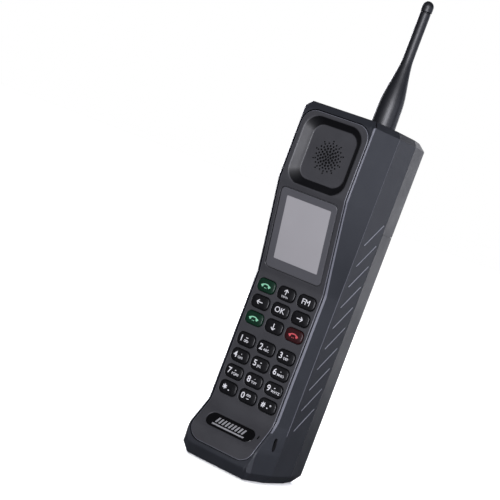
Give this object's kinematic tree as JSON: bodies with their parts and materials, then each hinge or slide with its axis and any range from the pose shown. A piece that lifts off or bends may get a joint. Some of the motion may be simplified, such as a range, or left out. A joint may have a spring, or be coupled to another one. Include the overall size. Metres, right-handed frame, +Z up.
{
  "type": "early mobile brick phone",
  "caption": "Tall faceted handheld phone with a leaning display, keypad of separate keys, recessed earpiece, lift-off battery cover and a screw-in antenna.",
  "frame": {"origin": "middle of the footprint, on the flat base the phone stands on", "axes": "+Z up along the antenna, -Y out of the keypad and display, +X to the right as seen from the front"},
  "size_m": [0.052, 0.0614, 0.27],
  "materials": {
    "case_plastic": "fine matt spark texture",
    "cover_plastic": "satin",
    "key_plastic": "polished",
    "key_green": "polished",
    "key_red": "polished",
    "window_glass": "polished",
    "display_panel": "smooth",
    "foam": "soft foam",
    "silicone": "satin",
    "board": "solder mask",
    "steel": "rolled sheet",
    "module_plastic": "moulded",
    "badge_metal": "printed plate",
    "socket_metal": "nickel plated",
    "battery_wrap": "printed wrap",
    "screw_steel": "zinc plated",
    "brass_insert": "turned",
    "antenna_rubber": "satin"
  },
  "bodies": {
    "housing": {"rear_shell": "case_plastic", "front_cover": "cover_plastic", "display_window": "window_glass", "display_gasket": "foam", "display_module": "display_panel", "keypad_mat": "silicone", "main_circuit_board": "board", "shield_can": "steel", "vibration_motor": "steel", "earpiece_mesh": "foam", "earpiece_speaker": "module_plastic", "microphone": "module_plastic", "badge_plate": "badge_metal", "usb_socket": "socket_metal", "battery_pack": "battery_wrap", "battery_contacts": "module_plastic", "sim_sockets": "steel", "rear_loudspeaker": "module_plastic", "case_screws": "screw_steel", "antenna_bush": "brass_insert"},
    "battery_cover": {"battery_cover": "case_plastic"},
    "antenna": {"antenna_sleeve": "antenna_rubber", "antenna_tip_cap": "antenna_rubber", "antenna_stud": "brass_insert", "antenna_core": "brass_insert"},
    "key_call_first": {"key_call_first": "key_green"},
    "key_up": {"key_up": "key_plastic"},
    "key_radio": {"key_radio": "key_plastic"},
    "key_left": {"key_left": "key_plastic"},
    "key_centre": {"key_centre": "key_plastic"},
    "key_right": {"key_right": "key_plastic"},
    "key_call_second": {"key_call_second": "key_green"},
    "key_down": {"key_down": "key_plastic"},
    "key_end": {"key_end": "key_red"},
    "key_1": {"key_1": "key_plastic"},
    "key_2": {"key_2": "key_plastic"},
    "key_3": {"key_3": "key_plastic"},
    "key_4": {"key_4": "key_plastic"},
    "key_5": {"key_5": "key_plastic"},
    "key_6": {"key_6": "key_plastic"},
    "key_7": {"key_7": "key_plastic"},
    "key_8": {"key_8": "key_plastic"},
    "key_9": {"key_9": "key_plastic"},
    "key_star": {"key_star": "key_plastic"},
    "key_0": {"key_0": "key_plastic"},
    "key_hash": {"key_hash": "key_plastic"}
  },
  "joints": [
    {"name": "key_call_first_press", "type": "slide", "parent": "housing", "child": "key_call_first", "axis": [0, 1, 0], "range_m": [0, 0.0005], "stiffness_N_per_m": 400, "springref_m": -0.0005},
    {"name": "key_up_press", "type": "slide", "parent": "housing", "child": "key_up", "axis": [0, 1, 0], "range_m": [0, 0.0005], "stiffness_N_per_m": 400, "springref_m": -0.0005},
    {"name": "key_radio_press", "type": "slide", "parent": "housing", "child": "key_radio", "axis": [0, 1, 0], "range_m": [0, 0.0005], "stiffness_N_per_m": 400, "springref_m": -0.0005},
    {"name": "key_left_press", "type": "slide", "parent": "housing", "child": "key_left", "axis": [0, 1, 0], "range_m": [0, 0.0005], "stiffness_N_per_m": 400, "springref_m": -0.0005},
    {"name": "key_centre_press", "type": "slide", "parent": "housing", "child": "key_centre", "axis": [0, 1, 0], "range_m": [0, 0.0005], "stiffness_N_per_m": 400, "springref_m": -0.0005},
    {"name": "key_right_press", "type": "slide", "parent": "housing", "child": "key_right", "axis": [0, 1, 0], "range_m": [0, 0.0005], "stiffness_N_per_m": 400, "springref_m": -0.0005},
    {"name": "key_call_second_press", "type": "slide", "parent": "housing", "child": "key_call_second", "axis": [0, 1, 0], "range_m": [0, 0.0005], "stiffness_N_per_m": 400, "springref_m": -0.0005},
    {"name": "key_down_press", "type": "slide", "parent": "housing", "child": "key_down", "axis": [0, 1, 0], "range_m": [0, 0.0005], "stiffness_N_per_m": 400, "springref_m": -0.0005},
    {"name": "key_end_press", "type": "slide", "parent": "housing", "child": "key_end", "axis": [0, 1, 0], "range_m": [0, 0.0005], "stiffness_N_per_m": 400, "springref_m": -0.0005},
    {"name": "key_1_press", "type": "slide", "parent": "housing", "child": "key_1", "axis": [0, 1, 0], "range_m": [0, 0.0005], "stiffness_N_per_m": 400, "springref_m": -0.0005},
    {"name": "key_2_press", "type": "slide", "parent": "housing", "child": "key_2", "axis": [0, 1, 0], "range_m": [0, 0.0005], "stiffness_N_per_m": 400, "springref_m": -0.0005},
    {"name": "key_3_press", "type": "slide", "parent": "housing", "child": "key_3", "axis": [0, 1, 0], "range_m": [0, 0.0005], "stiffness_N_per_m": 400, "springref_m": -0.0005},
    {"name": "key_4_press", "type": "slide", "parent": "housing", "child": "key_4", "axis": [0, 1, 0], "range_m": [0, 0.0005], "stiffness_N_per_m": 400, "springref_m": -0.0005},
    {"name": "key_5_press", "type": "slide", "parent": "housing", "child": "key_5", "axis": [0, 1, 0], "range_m": [0, 0.0005], "stiffness_N_per_m": 400, "springref_m": -0.0005},
    {"name": "key_6_press", "type": "slide", "parent": "housing", "child": "key_6", "axis": [0, 1, 0], "range_m": [0, 0.0005], "stiffness_N_per_m": 400, "springref_m": -0.0005},
    {"name": "key_7_press", "type": "slide", "parent": "housing", "child": "key_7", "axis": [0, 1, 0], "range_m": [0, 0.0005], "stiffness_N_per_m": 400, "springref_m": -0.0005},
    {"name": "key_8_press", "type": "slide", "parent": "housing", "child": "key_8", "axis": [0, 1, 0], "range_m": [0, 0.0005], "stiffness_N_per_m": 400, "springref_m": -0.0005},
    {"name": "key_9_press", "type": "slide", "parent": "housing", "child": "key_9", "axis": [0, 1, 0], "range_m": [0, 0.0005], "stiffness_N_per_m": 400, "springref_m": -0.0005},
    {"name": "key_star_press", "type": "slide", "parent": "housing", "child": "key_star", "axis": [0, 1, 0], "range_m": [0, 0.0005], "stiffness_N_per_m": 400, "springref_m": -0.0005},
    {"name": "key_0_press", "type": "slide", "parent": "housing", "child": "key_0", "axis": [0, 1, 0], "range_m": [0, 0.0005], "stiffness_N_per_m": 400, "springref_m": -0.0005},
    {"name": "key_hash_press", "type": "slide", "parent": "housing", "child": "key_hash", "axis": [0, 1, 0], "range_m": [0, 0.0005], "stiffness_N_per_m": 400, "springref_m": -0.0005},
    {"name": "battery_cover_lift", "type": "slide", "parent": "housing", "child": "battery_cover", "axis": [0, 1, 0], "range_m": [0, 0.04]},
    {"name": "antenna_turn", "type": "hinge", "parent": "housing", "child": "antenna", "pos_m": [0.0102, -0.0013, 0.1988], "axis": [0, 0, 1], "continuous": true}
  ]
}
